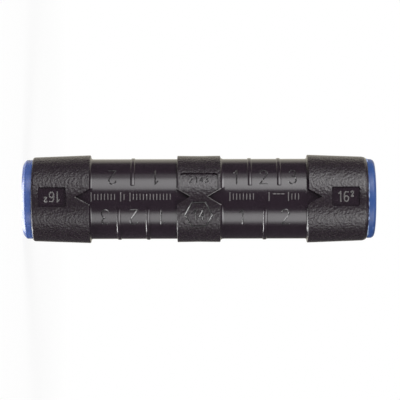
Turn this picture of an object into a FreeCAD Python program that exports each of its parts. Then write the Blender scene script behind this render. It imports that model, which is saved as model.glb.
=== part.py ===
import FreeCAD, Part
import Sketcher
import os
import re

# Pre-insulated compression sleeve for joining two small insulated aluminium conductors.
#
# Frame: the sleeve stands on one end ring. +Z runs along its axis, z = 0 is the face it stands on.
# -Y is the front, where the plates, notches and the gap between the ribs lie.
# Each piece is drawn about the sleeve's middle, then lifted by middle_height, so in every
# sketch the height of a point is its distance from the middle of the sleeve.

# Driving sizes in millimetres and degrees: alias, value, meaning
DRIVING_SIZES = [
    ("shell_length", 69.2, "insulating shell, end to end"),
    ("barrel_diameter", 12.0, "outside of the aluminium barrel"),
    ("barrel_clearance", 0.05, "radial gap between barrel and shell"),
    ("tube_wall", 2.2, "shell wall where the die presses it"),
    ("collar_length", 12.3, "collar, from its inner top corner to the shell's end"),
    ("collar_height", 0.82, "collar above the tube at its inner corner"),
    ("collar_taper", 0.39, "how much lower the collar is at the shell's end"),
    ("collar_ramp", 0.7, "length of the sloping inner side of a collar"),
    ("collar_end_length", 1.4, "slope that eases the collar's end, along the axis"),
    ("collar_end_drop", 0.8, "the same slope, towards the axis"),
    ("socket_wall", 1.43, "collar wall round the seal at the shell's end"),
    ("socket_depth", 10.0, "depth of the seal's socket in the collar"),
    ("band_width", 8.86, "band round the middle of the shell"),
    ("band_height", 0.67, "band above the tube"),
    ("band_ramp", 0.7, "length of the sloping side of the band"),
    ("zone_of_three", 5.95, "one press of the die where three fit"),
    ("zone_of_two", 9.1, "one press of the die where two fit"),
    ("rib_width", 0.6, "rib between two presses, at its foot"),
    ("rib_top_width", 0.4, "the same rib at its top"),
    ("rib_height", 0.18, "rib above the tube"),
    ("rib_gap_angle", 33.0, "gap between the ribs at front and back, in degrees"),
    ("notch_width", 3.1, "arrow notch at the edge it opens in"),
    ("collar_notch_length", 2.8, "arrow notch in a collar"),
    ("band_notch_length", 2.62, "arrow notch in the band"),
    ("plate_length", 5.5, "recessed plate, along the axis"),
    ("plate_width", 3.8, "recessed plate, across"),
    ("plate_depth", 0.45, "recessed plate, below the collar"),
    ("plate_corner", 0.35, "corner radius of the recessed plate"),
    ("panel_margin", 0.62, "band left beside the long panel"),
    ("panel_width", 3.0, "long panel, across"),
    ("panel_depth", 0.27, "long panel, below the band, on its middle line"),
    ("panel_corner", 0.5, "corner radius of the long panel"),
    ("panel_angle", 24.25, "long panel round from the front, in degrees"),
    ("panel_tilt", 12.0, "long panel's floor tipped, deepest away from the front, in degrees"),
    ("conductor_bore", 5.6, "bore for the stripped conductor"),
    ("bore_chamfer", 0.8, "lead-in of the conductor bore"),
    ("stop_wall", 3.0, "metal left between the tips of the two bores"),
    ("drill_tip", 1.6, "length of the cone that ends each bore"),
    ("neck_length", 3.0, "turned-down end of the barrel"),
    ("neck_step", 1.1, "how much smaller the neck's radius is"),
    ("cable_diameter", 7.4, "insulated cable that the seal grips"),
    ("cable_clearance", 0.6, "radial room round the cable"),
    ("lip_squeeze", 0.4, "how far a lip presses into the cable"),
    ("lip_foot", 1.5, "lip width where it joins the seal"),
    ("lip_lean", 0.3, "how far the lip's edge leans inwards along the cable"),
    ("seal_clearance", 0.05, "radial gap round the seal and round the neck"),
    ("flange_thickness", 1.55, "end ring outside the shell"),
    ("flange_setback", 0.53, "end ring's edge inside the collar's edge"),
    ("flange_edge", 0.85, "outer edge of the end ring, eased by two slopes"),
    ("spigot_length", 1.6, "end ring inside the socket"),
    ("spigot_clearance", 0.1, "radial gap round the spigot"),
    ("entry_chamfer", 0.6, "lead-in of the cable entry"),
]

# Sizes worked out from the driving ones: alias, formula
WORKED_SIZES = [
    ("barrel_radius", "barrel_diameter / 2"),
    ("shell_bore_radius", "barrel_radius + barrel_clearance"),
    ("tube_radius", "shell_bore_radius + tube_wall"),
    ("shell_end", "shell_length / 2"),
    ("collar_start", "shell_end - collar_length"),
    ("collar_foot", "collar_start - collar_ramp"),
    ("collar_inner_radius", "tube_radius + collar_height"),
    ("collar_outer_radius", "collar_inner_radius - collar_taper"),
    ("socket_radius", "collar_outer_radius - socket_wall"),
    ("socket_floor", "shell_end - socket_depth"),
    ("band_edge", "band_width / 2"),
    ("band_radius", "tube_radius + band_height"),
    ("band_foot", "band_edge + band_ramp"),
    ("under_tube_radius", "tube_radius - tube_wall / 4"),
    ("collar_notch_tip", "collar_start + collar_notch_length"),
    ("band_notch_tip", "band_edge - band_notch_length"),
    ("collar_notch_half", "notch_width / 2 * (collar_notch_tip - collar_foot) / collar_notch_length"),
    ("band_notch_half", "notch_width / 2 * (band_foot - band_notch_tip) / band_notch_length"),
    ("notch_reach", "collar_inner_radius + tube_wall"),
    ("plate_middle", "(collar_notch_tip + shell_end) / 2"),
    ("plate_fall", "collar_taper * (plate_middle - collar_start) / collar_length"),
    ("plate_floor", "collar_inner_radius - plate_fall - plate_depth"),
    ("panel_length", "band_width - 2 * panel_margin"),
    ("panel_floor", "band_radius - panel_depth"),
    ("barrel_shoulder", "socket_floor"),
    ("neck_end", "barrel_shoulder + neck_length"),
    ("neck_radius", "barrel_radius - neck_step"),
    ("bore_radius", "conductor_bore / 2"),
    ("drill_tip_height", "stop_wall / 2"),
    ("bore_floor", "drill_tip_height + drill_tip"),
    ("seal_end", "shell_end - spigot_length"),
    ("seal_outer_radius", "socket_radius - seal_clearance"),
    ("seal_neck_radius", "neck_radius + seal_clearance"),
    ("seal_step", "neck_end + seal_clearance"),
    ("cable_room_radius", "cable_diameter / 2 + cable_clearance"),
    ("lip_radius", "cable_diameter / 2 - lip_squeeze"),
    ("lip_pitch", "(seal_end - seal_step) / 2"),
    ("spigot_radius", "socket_radius - spigot_clearance"),
    ("flange_radius", "collar_outer_radius - flange_setback"),
    ("sleeve_end", "shell_end + flange_thickness"),
    ("flange_slope", "min(flange_edge; 0.9 * flange_thickness)"),
    ("flange_slope_step", "flange_slope * (1 - sqrt(2) / 2)"),
    ("entry_slope", "min(entry_chamfer; 0.9 * flange_thickness)"),
    ("middle_height", "sleeve_end"),
]

SEAL_LIPS = 2
FRONT_SIDES = 2  # the marks repeat when the sleeve is turned end for end
TOLERANCE = 1e-4


def make_sheet(doc):
    """The spreadsheet that every sketch and feature reads its sizes from."""
    sheet = doc.addObject("Spreadsheet::Sheet", "Sizes")
    row = 1
    for alias, value, meaning in DRIVING_SIZES:
        sheet.set(f"A{row}", str(value))
        sheet.setAlias(f"A{row}", alias)
        sheet.set(f"B{row}", meaning)
        row += 1
    for alias, formula in WORKED_SIZES:
        sheet.set(f"A{row}", f"={formula}")
        sheet.setAlias(f"A{row}", alias)
        row += 1
    doc.recompute()
    return sheet


def sheet_names(expression):
    """The expression as other objects write it, with each alias read from the sheet."""
    aliases = [entry[0] for entry in DRIVING_SIZES + WORKED_SIZES]
    return re.sub("[a-z_]+", lambda word: "Sizes." * (word.group() in aliases) + word.group(), expression)


def make_body(doc, name, turned=False):
    """A body about the sleeve's middle, turned end for end for the lower pieces."""
    body = doc.addObject("PartDesign::Body", name)
    body.Label = name
    if turned:
        body.Placement = FreeCAD.Placement(FreeCAD.Vector(), FreeCAD.Rotation(FreeCAD.Vector(0, 1, 0), 180))
    body.setExpression("Placement.Base.z", sheet_names("middle_height"))
    return body


def origin_feature(body, role):
    """One of the body's own origin planes or axes."""
    return next(feature for feature in body.Origin.OriginFeatures if feature.Role == role)


def make_sketch(body, name, role="XZ_Plane"):
    sketch = body.newObject("Sketcher::SketchObject", name)
    sketch.AttachmentSupport = [(origin_feature(body, role), "")]
    sketch.MapMode = "FlatFace"
    return sketch


def place_point(sketch, line, across, up):
    """Holds a line's start point at two sheet expressions, measured from the sketch's origin."""
    for kind, expression in (("DistanceX", across), ("DistanceY", up)):
        value = float(sketch.evalExpression(sheet_names(expression)))
        number = sketch.addConstraint(Sketcher.Constraint(kind, -1, 1, line, 1, value))
        sketch.setExpression(f"Constraints[{number}]", sheet_names(expression))


def draw_outline(sketch, corners):
    """A closed outline through corners, each given as two sheet expressions."""
    points = []
    for across, up in corners:
        x = float(sketch.evalExpression(sheet_names(across)))
        y = float(sketch.evalExpression(sheet_names(up)))
        points.append(FreeCAD.Vector(x, y, 0))
    lines = []
    for start, end in zip(points, points[1:] + points[:1]):
        lines.append(sketch.addGeometry(Part.LineSegment(start, end), False))
    for line, following in zip(lines, lines[1:] + lines[:1]):
        sketch.addConstraint(Sketcher.Constraint("Coincident", line, 2, following, 1))
    for line, (across, up) in zip(lines, corners):
        place_point(sketch, line, across, up)


def revolve(body, sketch, name, angle=None):
    """A ring, or a part of one to both sides of the sketch when an angle is given."""
    feature = body.newObject("PartDesign::Revolution", name)
    feature.Profile = sketch
    feature.ReferenceAxis = (sketch, ["V_Axis"])
    feature.Angle = 360
    if angle:
        feature.Midplane = True
        feature.setExpression("Angle", sheet_names(angle))
    body.Document.recompute()
    return feature


def cut_outwards(body, sketch, name, floor):
    """Cuts the sketched outline from a flat floor, this far in front of the axis, outwards."""
    sketch.setExpression("AttachmentOffset.Base.z", sheet_names(floor))
    body.Document.recompute()
    before = body.Shape.Volume
    feature = body.newObject("PartDesign::Pocket", name)
    feature.Profile = sketch
    feature.Reversed = True
    feature.setExpression("Length", sheet_names("notch_reach"))
    body.Document.recompute()
    if body.Shape.Volume > before - TOLERANCE:
        raise RuntimeError(f"{name} cut nothing")
    return feature


def turn_end_for_end(body, features, name):
    """Repeats features on the other half, turned about the front-to-back axis."""
    pattern = body.newObject("PartDesign::PolarPattern", name)
    pattern.Originals = features
    pattern.Axis = (origin_feature(body, "Y_Axis"), [""])
    pattern.Angle = 360
    pattern.Occurrences = FRONT_SIDES
    body.Tip = pattern
    body.Document.recompute()
    return pattern


def rounded_rectangle(sketch, middle, length, width, corner):
    """A rounded rectangle about the height middle: width across, length up, arcs at the corners."""
    half_width = float(sketch.evalExpression(sheet_names(f"{width} / 2")))
    half_length = float(sketch.evalExpression(sheet_names(f"{length} / 2")))
    radius = float(sketch.evalExpression(sheet_names(corner)))
    centre = float(sketch.evalExpression(sheet_names(middle)))
    inner_x = half_width - radius
    inner_y = half_length - radius
    quarter = FreeCAD.Units.Quantity("90 deg").getValueAs("rad").Value
    sides = []
    arcs = []
    # right side upwards, then round the corners towards the left
    ends = [
        ((half_width, -inner_y), (half_width, inner_y)),
        ((inner_x, half_length), (-inner_x, half_length)),
        ((-half_width, inner_y), (-half_width, -inner_y)),
        ((-inner_x, -half_length), (inner_x, -half_length)),
    ]
    middles = [(inner_x, inner_y), (-inner_x, inner_y), (-inner_x, -inner_y), (inner_x, -inner_y)]
    for turn, ((start, end), middle_of_arc) in enumerate(zip(ends, middles)):
        line = Part.LineSegment(
            FreeCAD.Vector(start[0], centre + start[1], 0), FreeCAD.Vector(end[0], centre + end[1], 0)
        )
        sides.append(sketch.addGeometry(line, False))
        circle = Part.Circle(
            FreeCAD.Vector(middle_of_arc[0], centre + middle_of_arc[1], 0), FreeCAD.Vector(0, 0, 1), radius
        )
        arcs.append(sketch.addGeometry(Part.ArcOfCircle(circle, turn * quarter, (turn + 1) * quarter), False))
    for turn in range(4):
        sketch.addConstraint(Sketcher.Constraint("Tangent", sides[turn], 2, arcs[turn], 1))
        sketch.addConstraint(Sketcher.Constraint("Tangent", arcs[turn], 2, sides[(turn + 1) % 4], 1))
    sketch.addConstraint(Sketcher.Constraint("Vertical", sides[0]))
    sketch.addConstraint(Sketcher.Constraint("Horizontal", sides[1]))
    for arc in arcs[1:]:
        sketch.addConstraint(Sketcher.Constraint("Equal", arcs[0], arc))
    sized = [
        (Sketcher.Constraint("Radius", arcs[0], radius), corner),
        (Sketcher.Constraint("DistanceX", -1, 1, sides[0], 1, half_width), f"{width} / 2"),
        (Sketcher.Constraint("DistanceX", sides[2], 1, -1, 1, half_width), f"{width} / 2"),
        (Sketcher.Constraint("DistanceY", -1, 1, sides[1], 1, centre + half_length), f"{middle} + {length} / 2"),
        (Sketcher.Constraint("DistanceY", -1, 1, sides[3], 1, centre - half_length), f"{middle} - {length} / 2"),
    ]
    for constraint, expression in sized:
        number = sketch.addConstraint(constraint)
        sketch.setExpression(f"Constraints[{number}]", sheet_names(expression))


def make_shell(doc):
    """The black moulded tube with its two collars, the band round its middle and the ribs."""
    body = make_body(doc, "insulating_shell")

    # Collars and band on a wall a little thinner than the tube, bored for barrel and seals
    rings = make_sketch(body, "ShellRings")
    draw_outline(rings, [
        ("shell_bore_radius", "-socket_floor"),
        ("socket_radius", "-socket_floor"),
        ("socket_radius", "-shell_end"),
        ("collar_outer_radius - collar_end_drop", "-shell_end"),
        ("collar_outer_radius", "collar_end_length - shell_end"),
        ("collar_inner_radius", "-collar_start"),
        ("tube_radius", "-collar_foot"),
        ("under_tube_radius", "-collar_foot"),
        ("under_tube_radius", "-band_edge"),
        ("band_radius", "-band_edge"),
        ("band_radius", "band_edge"),
        ("tube_radius", "band_foot"),
        ("under_tube_radius", "band_foot"),
        ("under_tube_radius", "collar_foot"),
        ("tube_radius", "collar_foot"),
        ("collar_inner_radius", "collar_start"),
        ("collar_outer_radius", "shell_end - collar_end_length"),
        ("collar_outer_radius - collar_end_drop", "shell_end"),
        ("socket_radius", "shell_end"),
        ("socket_radius", "socket_floor"),
        ("shell_bore_radius", "socket_floor"),
    ])
    revolve(body, rings, "RaisedRings")

    # Arrow notches in collar and band, cut below the tube's surface
    notches = make_sketch(body, "NotchOutlines")
    draw_outline(notches, [
        ("0", "collar_notch_tip"),
        ("-collar_notch_half", "collar_foot"),
        ("collar_notch_half", "collar_foot"),
    ])
    draw_outline(notches, [
        ("0", "band_notch_tip"),
        ("band_notch_half", "band_foot"),
        ("-band_notch_half", "band_foot"),
    ])
    notch_cut = cut_outwards(body, notches, "Notches", "under_tube_radius")
    turn_end_for_end(body, [notch_cut], "NotchesBothEnds")

    # The tube comes after the notches, so each notch's floor is the tube's own round surface
    tube = make_sketch(body, "TubeWall")
    draw_outline(tube, [
        ("socket_radius", "-plate_middle"),
        ("tube_radius", "-plate_middle"),
        ("tube_radius", "plate_middle"),
        ("socket_radius", "plate_middle"),
    ])
    revolve(body, tube, "Tube")

    # Ribs between the presses: two zones on one half of this side, three on the other half
    ribs = make_sketch(body, "RibSections")
    for height in (
        "band_edge + zone_of_two",
        "-band_edge - zone_of_three",
        "-band_edge - 2 * zone_of_three",
    ):
        draw_outline(ribs, [
            ("under_tube_radius", f"{height} - rib_width / 2"),
            ("tube_radius", f"{height} - rib_width / 2"),
            ("tube_radius + rib_height", f"{height} - rib_top_width / 2"),
            ("tube_radius + rib_height", f"{height} + rib_top_width / 2"),
            ("tube_radius", f"{height} + rib_width / 2"),
            ("under_tube_radius", f"{height} + rib_width / 2"),
        ])
    rib_arcs = revolve(body, ribs, "Ribs", "180 - rib_gap_angle")
    turn_end_for_end(body, [rib_arcs], "RibsBothSides")

    # Recessed plate in the front of each collar
    plate = make_sketch(body, "PlateOutline")
    rounded_rectangle(plate, "plate_middle", "plate_length", "plate_width", "plate_corner")
    plate_cut = cut_outwards(body, plate, "Plate", "plate_floor")
    turn_end_for_end(body, [plate_cut], "PlatesBothEnds")

    # Long shallow panel in the band, round from the front and deepest on the side away from it
    panel = make_sketch(body, "PanelOutline")
    rounded_rectangle(panel, "0", "panel_length", "panel_width", "panel_corner")
    quarter_turn = FreeCAD.Rotation(FreeCAD.Vector(0, -1, 0), 90)
    panel.AttachmentOffset = FreeCAD.Placement(FreeCAD.Vector(), quarter_turn)
    panel.setExpression("AttachmentOffset.Rotation.Angle", sheet_names("panel_angle + panel_tilt"))
    panel.setExpression("AttachmentOffset.Base.x", sheet_names("-panel_floor * sin(panel_angle)"))
    cut_outwards(body, panel, "Panel", "panel_floor * cos(panel_angle)")
    return body


def make_barrel(doc):
    """The aluminium barrel: two blind bores that meet a solid wall, and a thinner neck at each end."""
    body = make_body(doc, "conductor_barrel")
    half = make_sketch(body, "BarrelHalf")
    draw_outline(half, [
        ("0", "0"),
        ("barrel_radius", "0"),
        ("barrel_radius", "barrel_shoulder"),
        ("neck_radius", "barrel_shoulder"),
        ("neck_radius", "neck_end"),
        ("bore_radius + bore_chamfer", "neck_end"),
        ("bore_radius", "neck_end - bore_chamfer"),
        ("bore_radius", "bore_floor"),
        ("0", "drill_tip_height"),
    ])
    turned = revolve(body, half, "TurnedHalf")
    turn_end_for_end(body, [turned], "TurnedBothEnds")
    return body


def make_seal(doc, name, turned):
    """One elastomer seal: it grips the barrel's neck inside and the cable with its lips outside."""
    body = make_body(doc, name, turned)
    section = make_sketch(body, "SealSection")
    corners = [
        ("seal_outer_radius", "socket_floor"),
        ("seal_outer_radius", "seal_end"),
        ("cable_room_radius", "seal_end"),
    ]
    for lip in reversed(range(SEAL_LIPS)):
        middle = f"seal_step + lip_pitch * {lip + 0.5}"
        corners += [
            ("cable_room_radius", f"{middle} + lip_foot / 2"),
            ("lip_radius", f"{middle} - lip_lean"),
            ("cable_room_radius", f"{middle} - lip_foot / 2"),
        ]
    corners += [
        ("cable_room_radius", "seal_step"),
        ("seal_neck_radius", "seal_step"),
        ("seal_neck_radius", "socket_floor"),
    ]
    draw_outline(section, corners)
    revolve(body, section, "SealRing")
    return body


def make_end_ring(doc, name, turned):
    """One coloured end ring: its spigot closes the socket and its hole lets the cable in."""
    body = make_body(doc, name, turned)
    section = make_sketch(body, "EndRingSection")
    draw_outline(section, [
        ("cable_room_radius", "seal_end"),
        ("spigot_radius", "seal_end"),
        ("spigot_radius", "shell_end"),
        ("flange_radius", "shell_end"),
        ("flange_radius", "sleeve_end - flange_slope"),
        ("flange_radius - flange_slope_step", "sleeve_end - flange_slope_step"),
        ("flange_radius - flange_slope", "sleeve_end"),
        ("cable_room_radius + entry_slope", "sleeve_end"),
        ("cable_room_radius", "sleeve_end - entry_slope"),
    ])
    revolve(body, section, "FlangedRing")
    return body


def check_model(doc, bodies):
    """Stops unless every feature is sound and every piece is one valid solid."""
    for item in doc.Objects:
        if "Invalid" in item.State or "Error" in item.State:
            raise RuntimeError(f"{item.Name} failed: {item.State}")
    for body in bodies:
        if body.Shape.isNull() or not body.Shape.isValid():
            raise RuntimeError(f"{body.Label} has no valid shape")
        if len(body.Shape.Solids) != 1:
            raise RuntimeError(f"{body.Label} has {len(body.Shape.Solids)} solids")


def main():
    doc = FreeCAD.newDocument("CompressionSleeve")
    make_sheet(doc)
    bodies = [make_shell(doc), make_barrel(doc)]
    for side, turned in (("lower", True), ("upper", False)):
        bodies.append(make_seal(doc, f"{side}_seal", turned))
        bodies.append(make_end_ring(doc, f"{side}_end_ring", turned))
    doc.recompute()
    check_model(doc, bodies)
    os.makedirs("parts", exist_ok=True)
    for body in bodies:
        body.Shape.exportStep(f"parts/{body.Label}.step")
        box = body.Shape.BoundBox
        print(f"{body.Label}: volume {body.Shape.Volume:.1f} mm3, z {box.ZMin:.2f} to {box.ZMax:.2f}, "
              f"across {box.XLength:.2f} by {box.YLength:.2f} mm")


main()
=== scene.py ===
# %% [markdown]
# # Dressing a compression sleeve
# The real object is a black moulded sleeve, 72 mm long, that joins two small aluminium cables.
# Its solids come packed, as a fixed frame, and this file gives them their looks. Everything is in
# metres. The sleeve stands on one end: z runs along its axis and its front faces -y.

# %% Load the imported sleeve
import math

import bpy
from mathutils import Matrix, Vector


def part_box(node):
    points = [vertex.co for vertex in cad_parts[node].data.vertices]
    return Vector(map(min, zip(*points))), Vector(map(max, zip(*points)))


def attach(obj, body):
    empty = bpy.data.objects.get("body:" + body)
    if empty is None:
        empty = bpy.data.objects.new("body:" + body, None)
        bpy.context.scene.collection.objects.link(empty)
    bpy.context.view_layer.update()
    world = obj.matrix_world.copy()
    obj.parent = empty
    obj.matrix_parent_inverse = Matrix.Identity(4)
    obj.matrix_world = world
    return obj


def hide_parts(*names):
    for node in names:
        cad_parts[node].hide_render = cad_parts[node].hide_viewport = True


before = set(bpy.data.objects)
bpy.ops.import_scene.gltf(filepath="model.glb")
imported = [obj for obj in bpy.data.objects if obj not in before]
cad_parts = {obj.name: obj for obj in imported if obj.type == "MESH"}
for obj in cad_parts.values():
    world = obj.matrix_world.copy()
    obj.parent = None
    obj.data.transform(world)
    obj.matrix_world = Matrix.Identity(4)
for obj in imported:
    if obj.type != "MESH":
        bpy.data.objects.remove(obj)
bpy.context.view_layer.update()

print("nodes:", ", ".join(sorted(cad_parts)))

# %% [markdown]
# ## Sizes
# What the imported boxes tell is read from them: where the shell ends, how wide its collars are,
# where the middle is. The rest are the shell's own moulded sizes, written once here. A point on the
# sleeve is most easily said by its distance from the middle and its angle round from the front.

# %% Sizes of the sleeve
MM = 0.001
shell_low, shell_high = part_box("insulating_shell")
_, ring_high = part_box("upper_end_ring")
MIDDLE = (shell_low.z + shell_high.z) / 2
SHELL_END = (shell_high.z - shell_low.z) / 2
SLEEVE_END = ring_high.z - MIDDLE
COLLAR_RADIUS = shell_high.x
FLANGE_RADIUS = ring_high.x
COLLAR_LENGTH = 12.3 * MM
COLLAR_START = SHELL_END - COLLAR_LENGTH
LOWER_RAMP = 0.5 * MM
UPPER_RAMP = 0.42 * MM
COLLAR_END_RADIUS = COLLAR_RADIUS - 0.39 * MM
TUBE_RADIUS = COLLAR_RADIUS - 0.82 * MM
BAND_RADIUS = TUBE_RADIUS + 0.67 * MM
BAND_EDGE = 4.43 * MM
BAND_RAMP = 0.7 * MM
SOCKET_RADIUS = COLLAR_END_RADIUS - 1.43 * MM
SOCKET_FLOOR = SHELL_END - 10.0 * MM
BORE_RADIUS = 6.05 * MM
RIB_WIDTH = 0.86 * MM
RIB_HEIGHT = 0.18 * MM
RIB_GAP = math.radians(16.5)
ZONE_OF_THREE = 5.95 * MM
ZONE_OF_TWO = 9.1 * MM
print(f"shell {2 * SHELL_END / MM:.1f} mm long, collars {2 * COLLAR_RADIUS / MM:.2f} mm across")

# %% [markdown]
# ## Tools for every piece
# An operator works on whatever is selected, and a freshly loaded file has every solid selected.
# So the first helper clears the selection, and the others leave only what they were asked for.


# %% Selecting
def only(piece):
    """Selects this piece alone and makes it the active one."""
    bpy.ops.object.select_all(action="DESELECT")
    piece.select_set(True)
    bpy.context.view_layer.objects.active = piece


def edit_faces(piece, wanted):
    """Opens the piece in edit mode with only the faces selected whose centre passes the test."""
    only(piece)
    bpy.ops.object.mode_set(mode="EDIT")
    bpy.ops.mesh.select_mode(type="FACE")
    bpy.ops.mesh.select_all(action="DESELECT")
    bpy.ops.object.mode_set(mode="OBJECT")
    for face in piece.data.polygons:
        face.select = wanted(face.center)
    bpy.ops.object.mode_set(mode="EDIT")


# %% [markdown]
# A turned piece starts as its profile: a wire in the plane through the axis. By hand that is one
# vertex, extruded from corner to corner. A collapsed plane gives that first vertex. Round corners
# are worked out as quarter ellipses, so that one value for each direction sets their shape.


# %% Drawing a wire
ARC_STEPS = 6


def draw_wire(name, points, closed=True):
    """A wire through points, drawn by extruding one vertex from each to the next."""
    bpy.ops.object.select_all(action="DESELECT")
    bpy.ops.mesh.primitive_plane_add(size=MM, location=(0, 0, 0))
    piece = bpy.context.active_object
    piece.name = name
    bpy.ops.object.mode_set(mode="EDIT")
    bpy.ops.mesh.select_mode(type="VERT")
    bpy.ops.mesh.merge(type="CENTER")
    bpy.ops.transform.translate(value=points[0])
    for start, end in zip(points, points[1:]):
        step = Vector(end) - Vector(start)
        bpy.ops.mesh.extrude_vertices_move(TRANSFORM_OT_translate={"value": step})
    if closed:
        bpy.ops.object.mode_set(mode="OBJECT")
        for vertex in piece.data.vertices:
            vertex.select = vertex.index in (0, len(points) - 1)
        bpy.ops.object.mode_set(mode="EDIT")
        bpy.ops.mesh.edge_face_add()
    bpy.ops.object.mode_set(mode="OBJECT")
    return piece


def eased(corner, before, after):
    """Flat points of a quarter ellipse that eases a corner, from corner + before to + after."""
    corner, before, after = Vector(corner), Vector(before), Vector(after)
    points = []
    for step in range(ARC_STEPS + 1):
        turn = math.pi / 2 * step / ARC_STEPS
        points.append(corner + before * (1 - math.sin(turn)) + after * (1 - math.cos(turn)))
    return [tuple(point) for point in points]


# %% [markdown]
# Spin turns the wire about the axis into a closed skin. Its last copy lies on its first, so doubles
# are merged, and only then are the normals made to point outwards. 240 steps make each face one and
# a half degrees wide, fine enough for a mirror-like black tube.

# %% Spinning a wire round the axis
SPIN_STEPS = 240
MERGE_DISTANCE = 1e-7


def turned(name, profile):
    """A closed solid of revolution from (radius, distance from the middle) points."""
    piece = draw_wire(name, [(radius, 0, MIDDLE + distance) for radius, distance in profile])
    bpy.ops.object.mode_set(mode="EDIT")
    bpy.ops.mesh.select_all(action="SELECT")
    bpy.ops.mesh.spin(steps=SPIN_STEPS, angle=2 * math.pi, center=(0, 0, 0), axis=(0, 0, 1))
    bpy.ops.mesh.select_all(action="SELECT")
    bpy.ops.mesh.remove_doubles(threshold=MERGE_DISTANCE)
    bpy.ops.mesh.normals_make_consistent(inside=False)
    bpy.ops.object.mode_set(mode="OBJECT")
    print(f"{name}: {len(piece.data.polygons)} faces")
    return piece


# %% [markdown]
# ## The insulating shell
# One moulding: tube, band and two tapered collars. It could be boxes of booleans, but a lathe
# profile is nearer to how its mould was turned. The walls of collars and band run into the tube in
# a hollow sweep. The profile also gets a pair of points at every rib, because the ribs are pulled
# out of those faces afterwards. The lower ring stands out a little more than the upper one.

# %% Places of the ribs
RIBS_OF_TWO = [BAND_EDGE + ZONE_OF_TWO]
RIBS_OF_THREE = [BAND_EDGE + ZONE_OF_THREE, BAND_EDGE + 2 * ZONE_OF_THREE]


def rib_steps(side):
    """Points on the tube at both edges of every rib, below (-1) or above (1) the middle."""
    edges = []
    for place in RIBS_OF_TWO + RIBS_OF_THREE:
        edges += [side * place - RIB_WIDTH / 2, side * place + RIB_WIDTH / 2]
    return [(TUBE_RADIUS, edge) for edge in sorted(edges)]


# %% The shell's profile
UPPER_EASE = 1.2 * MM
UPPER_DROP = 0.66 * MM
LOWER_EASE = 0.5 * MM
LOWER_DROP = 0.30 * MM
EDGE_EASE = 0.16 * MM
FOOT_EASE = 0.14 * MM
BAND_WAIST = 0.06 * MM
STAND_OUT = 0.45 * MM
LOWER_END = SHELL_END - STAND_OUT
band_foot = BAND_EDGE + BAND_RAMP
collar_wall = COLLAR_RADIUS - TUBE_RADIUS - EDGE_EASE
band_wall = BAND_RADIUS - TUBE_RADIUS - EDGE_EASE
lower_outside = (
    [(SOCKET_RADIUS, -LOWER_END)]
    + eased((COLLAR_END_RADIUS, -LOWER_END), (-LOWER_DROP, 0), (0, LOWER_EASE))
    + eased((COLLAR_RADIUS, -COLLAR_START), (0, -EDGE_EASE), (-EDGE_EASE, 0))
    + eased((TUBE_RADIUS, -COLLAR_START), (collar_wall, 0), (0, LOWER_RAMP))[1:]
    + rib_steps(-1)
    + eased((TUBE_RADIUS, -BAND_EDGE), (0, -FOOT_EASE), (FOOT_EASE, 0))
    + eased((BAND_RADIUS, -BAND_EDGE), (-EDGE_EASE, 0), (0, EDGE_EASE))
)
upper_outside = (
    eased((BAND_RADIUS, BAND_EDGE), (0, -EDGE_EASE), (-EDGE_EASE, 0))
    + eased((TUBE_RADIUS, BAND_EDGE), (band_wall, 0), (0, BAND_RAMP))[1:]
    + rib_steps(1)
    + eased((TUBE_RADIUS, COLLAR_START), (0, -UPPER_RAMP), (collar_wall, 0))[:-1]
    + eased((COLLAR_RADIUS, COLLAR_START), (-EDGE_EASE, 0), (0, EDGE_EASE))
    + eased((COLLAR_END_RADIUS, SHELL_END), (0, -UPPER_EASE), (-UPPER_DROP, 0))
    + [(SOCKET_RADIUS, SHELL_END)]
)
inside = [
    (SOCKET_RADIUS, SOCKET_FLOOR),
    (BORE_RADIUS, SOCKET_FLOOR),
    (BORE_RADIUS, -SOCKET_FLOOR),
    (SOCKET_RADIUS, -SOCKET_FLOOR),
]
band_middle = [(BAND_RADIUS - BAND_WAIST, 0)]
shell = turned("moulded_shell", lower_outside + band_middle + upper_outside + inside)

# %% [markdown]
# The ribs mark off the presses of the die. Seen from the front the upper right and lower left
# quarters hold three presses, the other two hold two. A rib stops short of the front and the back.
# Its faces are extruded along their normals in three pulls, and after each the top is squeezed, so
# that the rib gets a round back which catches a line of light.


# %% Pull the ribs out of the tube
# Share of the height that each pull adds, and of its width that the top keeps
RIB_PULLS = ((0.50, 0.84), (0.32, 0.82), (0.18, 0.66))


def angle_from_front(point):
    """Angle round the axis from the front, positive towards +x."""
    return math.atan2(point.x, -point.y)


def pull_rib(place, towards_x):
    """Raises one rib at this distance from the middle, on the +x or the -x side."""

    def on_rib(centre):
        near = abs(centre.z - MIDDLE - place) < RIB_WIDTH / 2
        outside = math.hypot(centre.x, centre.y) > TUBE_RADIUS - RIB_HEIGHT
        angle = angle_from_front(centre) * towards_x
        return near and outside and RIB_GAP < angle < math.pi - RIB_GAP

    edit_faces(shell, on_rib)
    for height_share, width_share in RIB_PULLS:
        pull = {"value": RIB_HEIGHT * height_share}
        bpy.ops.mesh.extrude_region_shrink_fatten(TRANSFORM_OT_shrink_fatten=pull)
        bpy.ops.transform.resize(value=(1, 1, width_share), center_override=(0, 0, MIDDLE + place))
    bpy.ops.object.mode_set(mode="OBJECT")


for place in RIBS_OF_TWO:
    pull_rib(place, 1)
    pull_rib(-place, -1)
for place in RIBS_OF_THREE:
    pull_rib(place, -1)
    pull_rib(-place, 1)
first_rib = MIDDLE + RIBS_OF_TWO[0]
rib_radius = max(
    math.hypot(vertex.co.x, vertex.co.y)
    for vertex in shell.data.vertices
    if abs(vertex.co.z - first_rib) < RIB_WIDTH
)
print(f"rib tops at {rib_radius / MM:.2f} mm from the axis")

# %% [markdown]
# ## Recesses
# Plates, panel and arrow notches are sunk into the shell. Each is cut with a solid of its own: a
# drawn outline, extruded. Boolean modifiers do the cutting, as the outlines cross the shell's faces
# at a slant and insets could not follow them. The plates have flat floors. The panel's floor is as
# round as the band, so its cutter first loses a cylinder of the floor's radius.


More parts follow.
